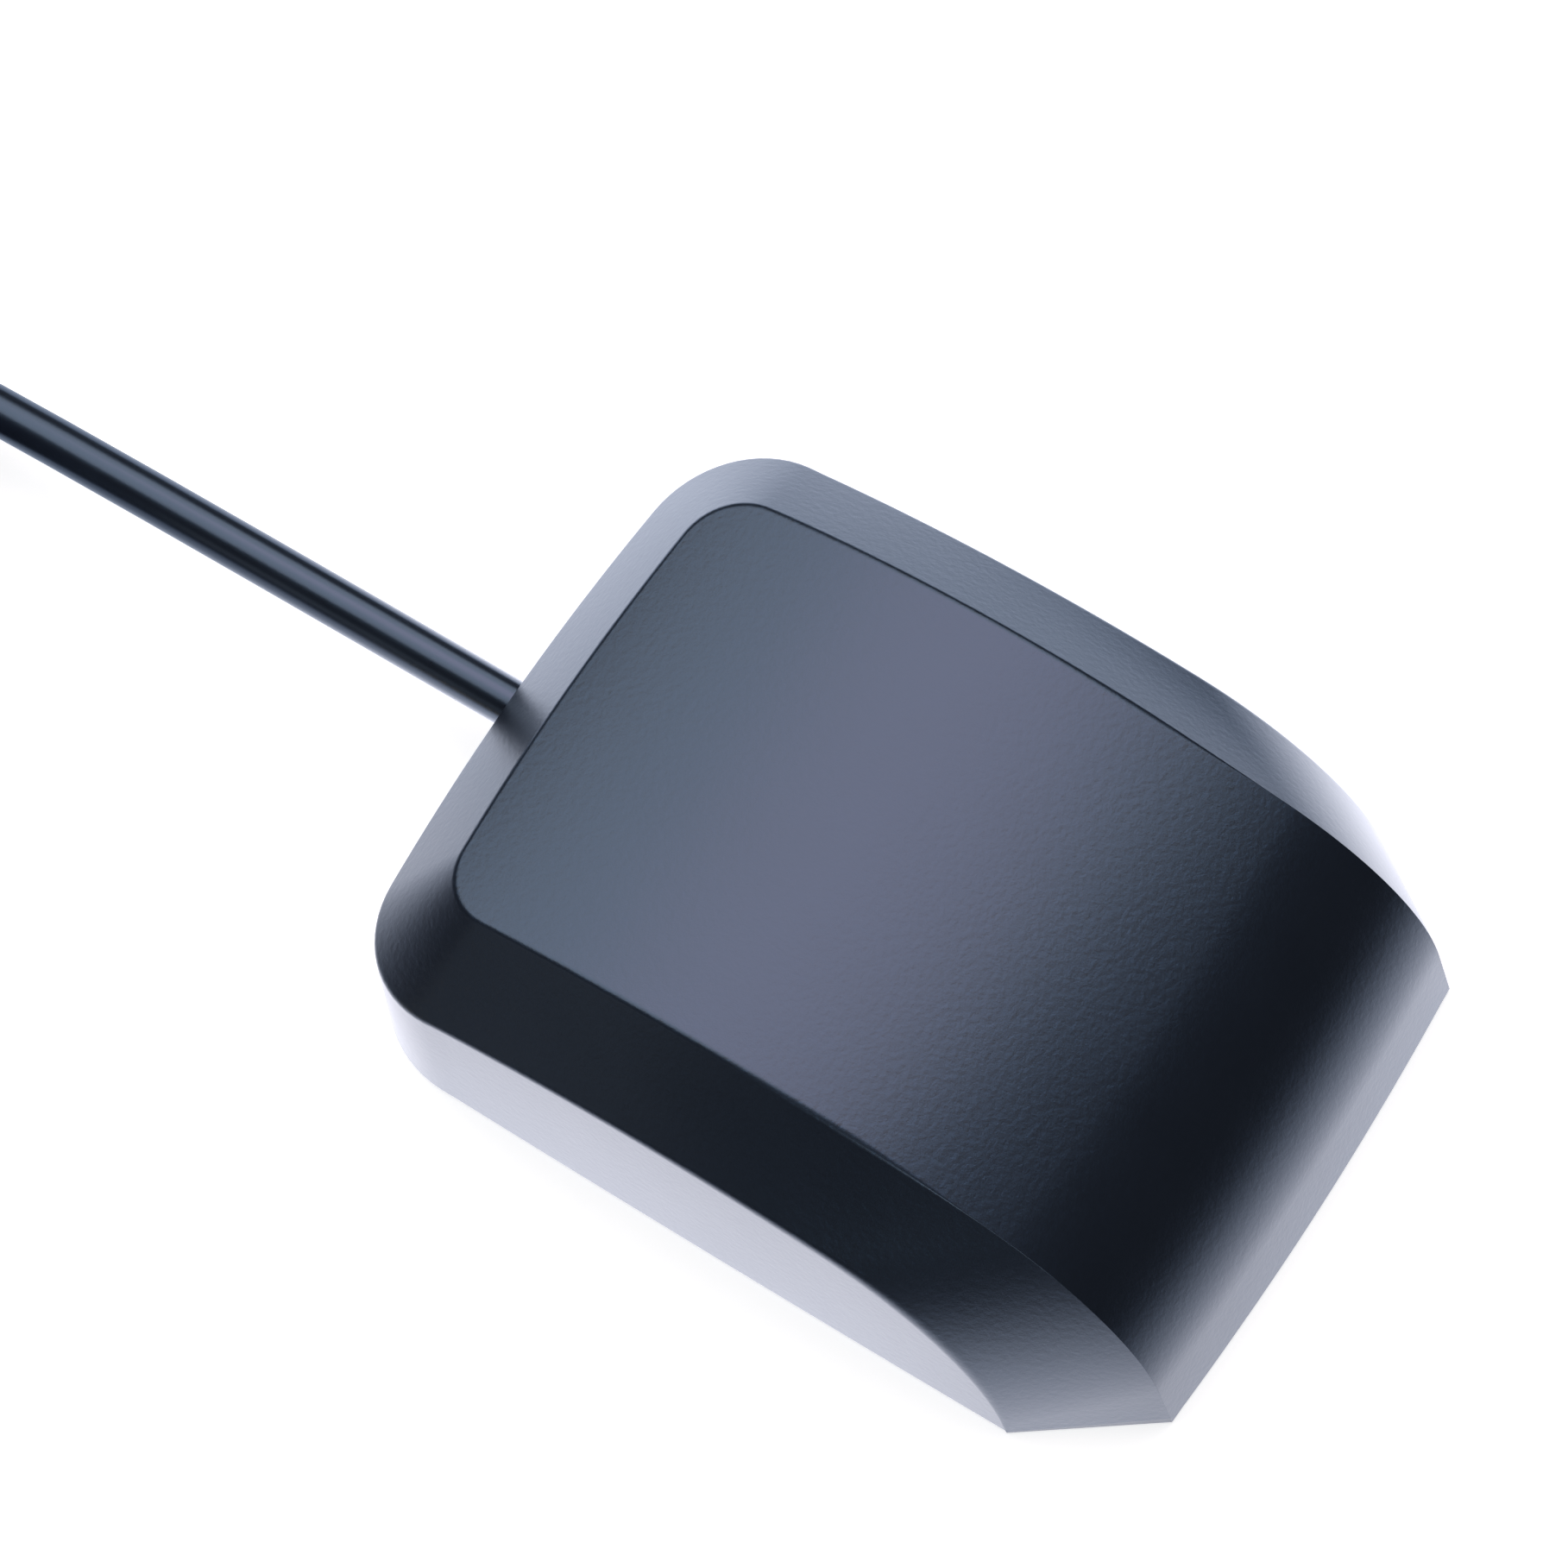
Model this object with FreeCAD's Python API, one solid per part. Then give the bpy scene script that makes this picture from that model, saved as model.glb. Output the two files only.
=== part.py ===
import FreeCAD, Part
import math
import os
from FreeCAD import Matrix, Placement, Rotation, Vector

# A GPS antenna: a low black housing with an arched, bevelled top, held down by magnets, and a thin
# coaxial cable with a push-on plug. Millimetres. +X runs to the sloping nose, the cable leaves
# at -X, +Z is up, and the origin is on the surface under the middle of the housing.

# Housing, outside
length = 50.3
width = 38.0
height = 17.0
wall_draft_deg = 3.0          # lean of the side and rear walls
side_bow = 0.2                # how far each side swells at mid length
rear_bow = 1.33               # how far the rear wall swells over the half width
nose_bow = 0.95               # how far the nose swells at mid width
base_corner_radius = 6.8      # rear corners, seen from above

# Side view of the middle panel: a crown arc, a nose arc, then a straight slope to the foot
crown_radius = 60.0
crown_turn_deg = 16.4
nose_radius = 13.0
nose_slope_deg = 80.0

# Side view of the edge between bevel and wall, of the same make
wall_edge_height = 12.05
wall_edge_crown_radius = 68.0
wall_edge_crown_turn_deg = 6.9
wall_edge_nose_radius = 12.75
wall_edge_slope_deg = 79.8

# Bevel between the panel and the walls
bevel_side = 5.4              # its width along the sides, seen from above
bevel_rear = 4.65             # its width at the rear
panel_rear_bow = 1.44         # how far the panel's rear edge swells over the half width
panel_flare = 0.5             # how far the panel widens at the nose
panel_corner_radius = 3.4

# Housing, inside
wall = 2.0
rim_wall = 1.2                # thickness of the wall's lower edge, outside the base plate
rim_lift = 0.2                # the wall's lower edge stays this far above the surface
boss_radius = 2.4
rear_boss_from_rear = 5.95    # screw bosses, from the housing's rear, front and sides
rear_boss_from_side = 5.3
front_boss_from_front = 11.15
front_boss_from_side = 4.0
rib_thickness = 0.8           # ribs that press the board down
rib_length = 8.0
fit_gap = 0.1                 # play between pieces that drop into one another

# Base
pad_thickness = 0.8
pad_margin = 0.4              # the pad stops short of the plate's edge
plate_thickness = 1.2
gasket_thickness = 0.4
magnet_length = 20.0
magnet_spacing = 10.0         # free width between the two magnets
magnet_from_side = 5.0        # from the magnets' outer sides to the housing's
magnet_thickness = 2.8
screw_radius = 0.85
screw_head_radius = 1.8
screw_head_height = 0.95
screw_length = 7.0
screw_slot = 0.5

# Receiver board and patch
board_x = -1.5                # middle of the board and of everything on it
board_from_wall = 3.5         # from the board's edge to the wall beside it
board_thickness = 0.8
can_length = 19.0
can_from_board_side = 5.0
can_height = 2.0
can_wall = 0.2
tape_from_board_edge = 1.5
tape_thickness = 0.3
patch_from_board_edge = 1.0
above_patch = 5.0             # from the patch's top to the housing's
electrode_thickness = 0.1
electrode_end_margin = 2.25   # bare ceramic beside the silver
electrode_side_margin = 2.75
electrode_corner = 2.0        # two opposite corners are cut off
feed_y = 1.8                  # the feed pin stands off the patch's middle
feed_radius = 0.5
feed_head_radius = 1.2
feed_head_height = 0.3
feed_tail = 0.6               # how far the pin shows under the board
filter_side = 3.8
amplifier_side = 2.0
chip_height = 0.9

# Cable
cable_diameter = 2.7
cable_length = 3000.0
cable_exit_z = 5.6
braid_diameter = 2.0
insulation_diameter = 1.5
core_diameter = 0.5
core_bend = 0.8
core_from_can = 1.8           # where the core goes up to the board, behind the can
braid_length = 1.4
insulation_length = 1.6

# Cable seat inside the housing
grommet_neck_radius = 1.8
grommet_collar_radius = 2.4
grommet_collar_x = -22.4
grommet_collar_length = 1.0
clamp_x = -19.6
clamp_length = 3.2
saddle_width = 8.6
strap_thickness = 0.5
strap_screw_y = 3.1
strap_screw_radius = 0.6
strap_screw_depth = 2.6
strap_screw_head_radius = 0.95
strap_screw_head_height = 0.6

# The cable's way to the coil: it runs level, droops a little, and comes down to the surface
level_end_x = -35.0
droop_end_x = -63.0
droop_end_z = 4.75

# Coil of the length that isn't laid straight
coil_x = -80.0
coil_columns = 5
coil_layers = 6
coil_slack = 0.2              # looseness of the bundle, each way
tail_layer = 1                # the layer, counted from 0, whose outer turn leads to the plug
tail_descent = 18.5           # length along X of the tail's way down, then of its level end
tail_end_run = 18.5

# Plug at the far end, along its axis from the cable's cut end
ferrule_radius = 2.0
ferrule_length = 5.0
boot_length = 5.0
boot_wall = 0.45
plug_body_radius = 3.0
plug_body_length = 5.0
plug_step = 1.0               # length of the smaller step at each end of the body
plug_step_drop = 0.6
plug_back_wall = 1.0
plug_sleeve_radius = 1.85
plug_sleeve_wall = 0.4
plug_sleeve_length = 3.8
plug_bead = 0.15              # height of the ring that clicks into the socket
plug_bead_length = 0.8
plug_slot_width = 0.4
plug_slot_length = 3.0
plug_insulator_radius = 1.4
plug_insulator_recess = 1.0
plug_pin_radius = 0.4

UP = Vector(0, 0, 1)
ALONG = Vector(1, 0, 0)
DEEP = 60.0                   # reach of shapes that only cut others
HERE = Vector(0, 0, 0)
SIDE_STATIONS = 17            # sections of the bevel along a side, round a corner and at the rear
CORNER_STATIONS = 7

half_length = length / 2
half_width = width / 2
plate_bottom = pad_thickness
plate_top = plate_bottom + plate_thickness
shelf_z = plate_top + gasket_thickness
can_bottom = plate_top + magnet_thickness
board_bottom = can_bottom + can_height
board_top = board_bottom + board_thickness
ceramic_bottom = board_top + tape_thickness + electrode_thickness
ceramic_top = height - above_patch
patch_thickness = ceramic_top - ceramic_bottom
board_side = width - 2 * (wall + board_from_wall)
patch_side = board_side - 2 * patch_from_board_edge
tape_side = board_side - 2 * tape_from_board_edge
can_width = board_side - 2 * can_from_board_side
magnet_width = half_width - magnet_from_side - magnet_spacing / 2
magnet_y = (magnet_spacing + magnet_width) / 2
cable_radius = cable_diameter / 2
core_x = board_x - can_length / 2 - core_from_can
insulation_end_x = core_x - 2 * core_bend
braid_end_x = insulation_end_x - insulation_length
jacket_end_x = braid_end_x - braid_length
rear_boss_x = rear_boss_from_rear - half_length
rear_boss_y = half_width - rear_boss_from_side
front_boss_x = half_length - front_boss_from_front
front_boss_y = half_width - front_boss_from_side
boss_spots = [(rear_boss_x, rear_boss_y), (rear_boss_x, -rear_boss_y),
              (front_boss_x, front_boss_y), (front_boss_x, -front_boss_y)]

os.makedirs("parts", exist_ok=True)


def save(name, shape):
    """Writes one piece to its own file and prints its volume."""
    shape.exportStep("parts/" + name + ".step")
    print(f"{name}: {len(shape.Solids)} solid(s), {shape.Volume:.1f} mm3, valid {shape.isValid()}")


def block(size_x, size_y, size_z, x, y, z):
    """A box with its middle at x, y and its underside at z."""
    return Part.makeBox(size_x, size_y, size_z, Vector(x - size_x / 2, y - size_y / 2, z))


def mirrored(shape):
    """The same shape on the other side of the middle plane."""
    return shape.mirror(HERE, Vector(0, 1, 0))


def polygon(points):
    return Part.makePolygon(points + [points[0]])


def rear_corner(rear_x, swing, side_y, radius):
    """Centre of the arc that rounds a rear corner, and the angle where it runs into the rear's."""
    y = side_y - radius
    x = rear_x + swing - math.sqrt((swing - radius) ** 2 - y ** 2)
    return Vector(x, y, 0), math.atan2(y, x - rear_x - swing)


def rear_point(rear_x, swing, angle):
    """A point of the rear's arc, at an angle about the arc's far centre."""
    return Vector(rear_x + swing + swing * math.cos(angle), swing * math.sin(angle), 0)


# Housing: the outside and the space inside are the same form, made twice

class Crest:
    """Side view of an arched line: crown arc, nose arc and straight slope, tangent to each other."""

    def __init__(self, top, crown, turn_deg, nose, slope_deg, apex_x):
        self.apex_x = apex_x
        self.top = top
        self.crown = crown
        self.nose = nose
        self.turn = math.radians(turn_deg)
        self.slope = math.radians(slope_deg)
        self.turn_x = apex_x + crown * math.sin(self.turn)
        self.turn_z = top - crown * (1 - math.cos(self.turn))
        self.slope_x = self.turn_x + nose * (math.sin(self.slope) - math.sin(self.turn))
        self.slope_z = self.turn_z - nose * (math.cos(self.turn) - math.cos(self.slope))
        self.foot_x = self.slope_x + self.slope_z / math.tan(self.slope)

    def crown_point(self, x):
        angle = math.asin((x - self.apex_x) / self.crown)
        return x, self.top - self.crown * (1 - math.cos(angle))

    def nose_point(self, share):
        """From the end of the crown arc at 0 to the start of the slope at 1."""
        angle = self.turn + share * (self.slope - self.turn)
        return (self.turn_x + self.nose * (math.sin(angle) - math.sin(self.turn)),
                self.turn_z - self.nose * (math.cos(self.turn) - math.cos(angle)))

    def slope_point(self, z):
        return self.slope_x + (self.slope_z - z) / math.tan(self.slope), z

    def z_at(self, x):
        """Height above a place on the crown or nose arc."""
        if x <= self.turn_x:
            return self.crown_point(x)[1]
        sine = min((x - self.turn_x) / self.nose + math.sin(self.turn), math.sin(self.slope))
        return self.turn_z - self.nose * (math.cos(self.turn) - math.sqrt(1 - sine * sine))


def apex_from_foot():
    """Where the crown is highest, so that the slope's foot comes out at the housing's front."""
    trial = Crest(height, crown_radius, crown_turn_deg, nose_radius, nose_slope_deg, 0)
    return half_length - trial.foot_x


class Envelope:
    """The housing's outer form, or the same form drawn in by an inset on every side."""

    def __init__(self, inset):
        apex_x = apex_from_foot()
        self.inset = inset
        self.half_width = half_width - inset
        self.rear_x = -half_length + inset
        self.corner_radius = base_corner_radius - inset
        self.lean = math.tan(math.radians(wall_draft_deg))
        self.panel = Crest(height - inset, crown_radius - inset, crown_turn_deg, nose_radius - inset,
                           nose_slope_deg, apex_x)
        self.edge = Crest(wall_edge_height - inset, wall_edge_crown_radius - inset,
                          wall_edge_crown_turn_deg, wall_edge_nose_radius - inset,
                          wall_edge_slope_deg, apex_x)
        # Radii of the nose and of the rear, seen from above
        self.nose_swing = half_width ** 2 / (2 * nose_bow)
        self.rear_swing = half_width ** 2 / (2 * rear_bow) - inset
        self.panel_rear_swing = half_width ** 2 / (2 * panel_rear_bow) - inset

    def plan(self, z):
        """Outline of the walls at height z, open past the nose."""
        lean = self.lean * z
        side = self.half_width - lean
        rear = self.rear_x + lean
        radius = self.corner_radius - lean
        front = half_length + wall
        corner, meeting = rear_corner(rear, self.rear_swing, side - side_bow, radius)
        corner.z = z
        halfway = (math.pi / 2 + meeting) / 2
        side_start = corner + Vector(0, radius, 0)
        tip = corner + Vector(math.cos(halfway), math.sin(halfway), 0) * radius
        rear_start = corner + Vector(math.cos(meeting), math.sin(meeting), 0) * radius
        side_mid = Vector((side_start.x + front) / 2, side, z)
        side_end = Vector(front, side - side_bow, z)

        def flip(p):
            return Vector(p.x, -p.y, p.z)
        edges = [
            Part.LineSegment(flip(side_end), side_end),
            Part.Arc(side_end, side_mid, side_start),
            Part.Arc(side_start, tip, rear_start),
            Part.Arc(rear_start, Vector(rear, 0, z), flip(rear_start)),
            Part.Arc(flip(rear_start), flip(tip), flip(side_start)),
            Part.Arc(flip(side_start), flip(side_mid), flip(side_end)),
        ]
        return Part.Wire([edge.toShape() for edge in edges])

    def walls(self):
        return Part.makeLoft([self.plan(-1), self.plan(height + 1)], True, True)

    def under_panel(self):
        """All that lies under the arched panel, swung sideways on the nose's radius."""
        crest = self.panel
        rear_x = -half_length - wall
        foot = crest.slope_point(-1)
        rear = crest.crown_point(rear_x)
        middle = crest.crown_point((rear_x + crest.turn_x) / 2)
        nose = crest.nose_point(0.5)

        def at(pair):
            return Vector(pair[0], 0, pair[1])
        turn = Vector(crest.turn_x, 0, crest.turn_z)
        slope = Vector(crest.slope_x, 0, crest.slope_z)
        below = Vector(rear_x, 0, -1)
        edges = [
            Part.Arc(at(rear), at(middle), turn),
            Part.Arc(turn, at(nose), slope),
            Part.LineSegment(slope, at(foot)),
            Part.LineSegment(at(foot), below),
            Part.LineSegment(below, at(rear)),
        ]
        face = Part.Face(Part.Wire([edge.toShape() for edge in edges]))
        axis = Vector(half_length - self.nose_swing, 0, 0)
        reach = math.degrees(2 * width / self.nose_swing)
        face.rotate(axis, UP, -reach / 2)
        return face.revolve(axis, UP, reach)

    def panel_side(self, x):
        """Half width of the panel at x."""
        nose_share = max(0.0, (x - half_length / 3) / (half_length * 2 / 3))
        return (self.half_width - side_bow * (x / half_length) ** 2 - bevel_side
                + panel_flare * nose_share ** 2)

    def bevel_stations(self):
        """Pairs of points, one on the panel's edge and one on the wall's edge, from nose to rear."""
        panel, edge = self.panel, self.edge
        below = height / 3        # how far the bevel is carried on under the base

        def upper(pair):
            x, z = pair
            y = self.panel_side(x)
            return Vector(x - y * y / (2 * self.nose_swing), y, z)

        def lower(pair):
            x, z = pair
            return Vector(x, self.half_width - side_bow * (x / half_length) ** 2 - self.lean * z, z)
        rear_drop = self.lean * edge.z_at(self.rear_x)
        edge_rear = self.rear_x + rear_drop
        edge_radius = self.corner_radius - rear_drop
        edge_corner, edge_meeting = rear_corner(
            edge_rear, self.rear_swing, self.half_width - side_bow - rear_drop, edge_radius)
        panel_rear = self.rear_x + bevel_rear
        panel_corner, panel_meeting = rear_corner(
            panel_rear, self.panel_rear_swing, self.panel_side(panel_rear + panel_corner_radius),
            panel_corner_radius)
        arch_end = panel_corner.x + (panel_corner.y + panel_corner_radius) ** 2 / (2 * self.nose_swing)

        def pair_at(high, low):
            high.z = panel.z_at(high.x + high.y ** 2 / (2 * self.nose_swing))
            low.z = edge.z_at(low.x)
            return high, low
        pairs = []
        for k in range(3):
            high_z = panel.slope_z - (3 - k) * (panel.slope_z + below) / 3
            low_z = edge.slope_z - (3 - k) * (edge.slope_z + below) / 3
            pairs.append((upper(panel.slope_point(high_z)), lower(edge.slope_point(low_z))))
        for k in range(7):
            pairs.append((upper(panel.nose_point(1 - k / 6)), lower(edge.nose_point(1 - k / 6))))
        for k in range(1, 8):
            share = k / 7
            x_up = panel.turn_x + share * (arch_end - panel.turn_x)
            x_low = edge.turn_x + share * (edge_corner.x - edge.turn_x)
            pairs.append((upper(panel.crown_point(x_up)), lower(edge.crown_point(x_low))))
        quarter = math.pi / 2
        for k in range(1, 8):
            high_angle = quarter + (panel_meeting - quarter) * k / 7
            low_angle = quarter + (edge_meeting - quarter) * k / 7
            high_turn = Vector(math.cos(high_angle), math.sin(high_angle), 0)
            low_turn = Vector(math.cos(low_angle), math.sin(low_angle), 0)
            pairs.append(pair_at(panel_corner + high_turn * panel_corner_radius,
                                 edge_corner + low_turn * edge_radius))
        for k in range(1, 6):
            share = 1 - k / 4
            high_angle = math.pi - share * (math.pi - panel_meeting)
            low_angle = math.pi - share * (math.pi - edge_meeting)
            pairs.append(pair_at(rear_point(panel_rear, self.panel_rear_swing, high_angle),
                                 rear_point(edge_rear, self.rear_swing, low_angle)))
        return pairs

    def bevel_waste(self):
        """The waste above the bevel on the +Y half: side, corner and rear, each a loft of
        four-cornered sections that reach past the panel's edge and the wall's edge."""
        pairs = self.bevel_stations()
        sections = []
        for k, (high, low) in enumerate(pairs):
            before = pairs[max(k - 1, 0)]
            after = pairs[min(k + 1, len(pairs) - 1)]
            along = (after[0] + after[1]) - (before[0] + before[1])
            across = low - high
            outward = along.cross(across)
            outward.normalize()
            if outward.dot(high + low) < 0:
                outward = outward * -1
            start = high - across * 0.3
            end = low + across * 0.3
            away = outward * height / 2
            sections.append(polygon([start, end, end + away, start + away]))
        corner_start = SIDE_STATIONS - 1
        corner_end = corner_start + CORNER_STATIONS
        stretches = [sections[:corner_start + 1], sections[corner_start:corner_end + 1],
                     sections[corner_end:]]
        lofts = [Part.makeLoft(stretch, True, False) for stretch in stretches]
        half = block(DEEP * 2, DEEP, DEEP * 2, 0, DEEP / 2, -DEEP)
        return lofts[0].fuse(lofts[1]).fuse(lofts[2].common(half))

    def solid(self):
        waste = self.bevel_waste()
        body = self.walls().common(self.under_panel())
        return body.cut(waste).cut(mirrored(waste))

    def outline(self, z):
        """The form's outline at height z, as a flat face lying at z = 0."""
        face = Part.Face(self.solid().slice(UP, z))
        face.translate(Vector(0, 0, -z))
        return face


def slab(outline, bottom, top):
    """A flat piece of the given outline."""
    piece = outline.extrude(UP * (top - bottom))
    piece.translate(UP * bottom)
    return piece


def post(radius, x, y, bottom, top):
    return Part.makeCylinder(radius, top - bottom, Vector(x, y, bottom), UP)


def rod(radius, start_x, end_x, y, z):
    """A round bar along X."""
    return Part.makeCylinder(radius, end_x - start_x, Vector(start_x, y, z), ALONG)


mid_plate = (plate_bottom + plate_top) / 2
outer_form = Envelope(0).solid()
rim_envelope = Envelope(rim_wall)
rim_form = rim_envelope.solid()
recess_outline = rim_envelope.outline(mid_plate)
plate_outline = Envelope(rim_wall + fit_gap).outline(mid_plate)
pad_outline = Envelope(rim_wall + fit_gap + pad_margin).outline(mid_plate)
inner_envelope = Envelope(wall)
inner_form = inner_envelope.solid()

# Moulded housing: one hollow piece, open underneath, with four screw bosses and four board ribs

above_shelf = block(DEEP * 2, DEEP * 2, DEEP, 0, 0, shelf_z)
below_rim = block(DEEP * 2, DEEP * 2, DEEP, 0, 0, rim_lift - DEEP)
housing = outer_form.cut(below_rim)
housing = housing.cut(inner_form.common(above_shelf))
housing = housing.cut(slab(recess_outline, -1, shelf_z))
for x, y in boss_spots:
    boss = post(boss_radius, x, y, plate_top, height).common(rim_form)
    housing = housing.fuse(boss)
rib_reach = board_side / 2 - 0.5
for x, y, size_x, size_y in [(-rib_reach, 0, rib_thickness, rib_length),
                             (rib_reach, 0, rib_thickness, rib_length),
                             (0, -rib_reach, rib_length, rib_thickness),
                             (0, rib_reach, rib_length, rib_thickness)]:
    rib = block(size_x, size_y, height - board_top, board_x + x, y, board_top).common(rim_form)
    housing = housing.fuse(rib)
for x, y in boss_spots:
    housing = housing.cut(post(screw_radius, x, y, plate_bottom, plate_bottom + screw_length + wall / 2))
cable_hole = rod(grommet_neck_radius, -half_length - wall, grommet_collar_x, 0, cable_exit_z)
collar_seat = rod(grommet_collar_radius + fit_gap, grommet_collar_x, clamp_x, 0, cable_exit_z)
housing = housing.cut(cable_hole).cut(collar_seat)
save("radome_shell", housing)

# Base: a steel plate set into the housing, a rubber pad under it, a gasket above its rim

save("base_pad", slab(pad_outline, 0, plate_bottom))

plate = slab(plate_outline, plate_bottom, plate_top)
for x, y in boss_spots:
    plate = plate.cut(Part.makeCone(screw_head_radius, screw_radius, screw_head_height,
                                    Vector(x, y, plate_bottom), UP))
    plate = plate.cut(post(screw_radius, x, y, plate_bottom, plate_top))
save("base_plate", plate)

gasket = slab(plate_outline, plate_top, shelf_z).cut(slab(inner_envelope.outline(shelf_z),
                                                         plate_top, shelf_z))
for x, y in boss_spots:
    gasket = gasket.cut(post(boss_radius + fit_gap, x, y, plate_top, shelf_z))
save("base_gasket", gasket)


def base_screw(x, y):
    """Countersunk screw with a cross slot, driven upwards from the plate's underside."""
    head = Part.makeCone(screw_head_radius, screw_radius, screw_head_height,
                         Vector(x, y, plate_bottom), UP)
    shank = post(screw_radius, x, y, plate_bottom, plate_bottom + screw_length)
    slot_depth = screw_head_height * 0.6
    slot_reach = screw_head_radius * 1.2
    screw = head.fuse(shank)
    screw = screw.cut(block(slot_reach, screw_slot, slot_depth, x, y, plate_bottom))
    return screw.cut(block(screw_slot, slot_reach, slot_depth, x, y, plate_bottom))


save("base_screws", Part.Compound([base_screw(x, y) for x, y in boss_spots]))

save("magnets", Part.Compound([
    block(magnet_length, magnet_width, magnet_thickness, board_x, side * magnet_y, plate_top)
    for side in (-1, 1)]))

# Receiver board, clamped between the ribs and the can that rests on the magnets

can = block(can_length, can_width, can_height, board_x, 0, can_bottom)
can = can.cut(block(can_length - 2 * can_wall, can_width - 2 * can_wall, can_height,
                    board_x, 0, can_bottom + can_wall))
save("shield_can", can)

feed_hole = post(feed_radius + fit_gap, board_x, feed_y, 0, height)
board = block(board_side, board_side, board_thickness, board_x, 0, board_bottom)
save("circuit_board", board.cut(feed_hole))

chip_z = board_bottom - chip_height
chips = [
    block(filter_side, filter_side, chip_height, board_x - can_length / 4, 0, chip_z),
    block(amplifier_side, amplifier_side, chip_height, board_x + can_length / 4, 0, chip_z),
    block(amplifier_side, amplifier_side, chip_height, board_x, -can_width / 4, chip_z),
]
save("amplifier_chips", Part.Compound(chips))

# Patch: a ceramic block, silvered on both faces, taped to the board and fed by a pin

tape = block(tape_side, tape_side, tape_thickness, board_x, 0, board_top)
save("patch_tape", tape.cut(feed_hole))

ground = block(tape_side, tape_side, electrode_thickness, board_x, 0, board_top + tape_thickness)
save("ground_electrode", ground.cut(feed_hole))

ceramic = block(patch_side, patch_side, patch_thickness, board_x, 0, ceramic_bottom)
save("patch_ceramic", ceramic.cut(feed_hole))

half_long = patch_side / 2 - electrode_end_margin
half_wide = patch_side / 2 - electrode_side_margin
electrode_face = Part.Face(polygon([
    Vector(-half_long, -half_wide, 0),
    Vector(half_long - electrode_corner, -half_wide, 0),
    Vector(half_long, electrode_corner - half_wide, 0),
    Vector(half_long, half_wide, 0),
    Vector(electrode_corner - half_long, half_wide, 0),
    Vector(-half_long, half_wide - electrode_corner, 0),
]))
electrode = electrode_face.extrude(UP * electrode_thickness)
electrode.translate(Vector(board_x, 0, ceramic_top))
save("patch_electrode", electrode.cut(feed_hole))

feed_top = ceramic_top + electrode_thickness
feed_pin = post(feed_radius, board_x, feed_y, board_bottom - feed_tail, feed_top)
save("feed_pin", feed_pin.fuse(post(feed_head_radius, board_x, feed_y,
                                    feed_top, feed_top + feed_head_height)))

# Cable seat: a rubber grommet in the rear wall, and a saddle with a strap inside

cable_bore = rod(cable_radius, -DEEP, 0, 0, cable_exit_z)
rear_lean = math.tan(math.radians(wall_draft_deg)) * (cable_exit_z + grommet_neck_radius)
neck_start = -half_length + rear_lean
grommet = rod(grommet_neck_radius, neck_start, grommet_collar_x, 0, cable_exit_z)
grommet = grommet.fuse(rod(grommet_collar_radius, grommet_collar_x,
                           grommet_collar_x + grommet_collar_length, 0, cable_exit_z))
save("cable_grommet", grommet.cut(cable_bore))

strap_holes = [post(strap_screw_radius, clamp_x, side * strap_screw_y,
                    cable_exit_z - strap_screw_depth, height) for side in (-1, 1)]
saddle = block(clamp_length, saddle_width, cable_exit_z - plate_top, clamp_x, 0, plate_top)
save("cable_saddle", saddle.cut(cable_bore).cut(strap_holes[0]).cut(strap_holes[1]))

strap = block(clamp_length, saddle_width, strap_thickness, clamp_x, 0, cable_exit_z)
hump = rod(cable_radius + strap_thickness, clamp_x - clamp_length / 2, clamp_x + clamp_length / 2,
           0, cable_exit_z)
strap = strap.fuse(hump.common(block(DEEP, DEEP, DEEP, clamp_x, 0, cable_exit_z)))
save("cable_strap", strap.cut(cable_bore).cut(strap_holes[0]).cut(strap_holes[1]))

strap_top = cable_exit_z + strap_thickness
strap_screws = []
for side in (-1, 1):
    y = side * strap_screw_y
    shank = post(strap_screw_radius, clamp_x, y, cable_exit_z - strap_screw_depth, strap_top)
    head = post(strap_screw_head_radius, clamp_x, y, strap_top, strap_top + strap_screw_head_height)
    slot = block(3 * strap_screw_head_radius, strap_screw_radius / 2, strap_screw_head_height,
                 clamp_x, y, strap_top + strap_screw_head_height / 2)
    strap_screws.append(shank.fuse(head).cut(slot))
save("strap_screws", Part.Compound(strap_screws))

# Cable: straight runs joined by arcs that touch both, swept by the jacket's round section


def route_wire(name, points):
    """The centreline through the corner points, and its length. Prints each bend's radius."""
    edges = []
    length_so_far = 0.0
    start = points[0]
    for before, corner, after in zip(points, points[1:], points[2:]):
        incoming = corner - before
        outgoing = after - corner
        turn = incoming.getAngle(outgoing)
        cut_back = 0.45 * min(incoming.Length, outgoing.Length)
        radius = cut_back / math.tan(turn / 2)
        incoming.normalize()
        outgoing.normalize()
        first = corner - incoming * cut_back
        last = corner + outgoing * cut_back
        inward = outgoing - incoming
        inward.normalize()
        sagitta = radius / math.cos(turn / 2) - radius
        edges.append(Part.LineSegment(start, first).toShape())
        edges.append(Part.Arc(first, corner + inward * sagitta, last).toShape())
        length_so_far += (first - start).Length + radius * turn
        start = last
        print(f"{name}: bend of {math.degrees(turn):.1f} deg, radius {radius:.1f} mm")
    edges.append(Part.LineSegment(start, points[-1]).toShape())
    return Part.Wire(edges), length_so_far + (points[-1] - start).Length


def sweep_cable(name, points):
    """The jacket along a route, and the route's length."""
    wire, run_length = route_wire(name, points)
    profile = Part.Wire([Part.makeCircle(cable_radius, points[0], points[1] - points[0])])
    return wire.makePipeShell([profile], True, False), run_length


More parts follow.
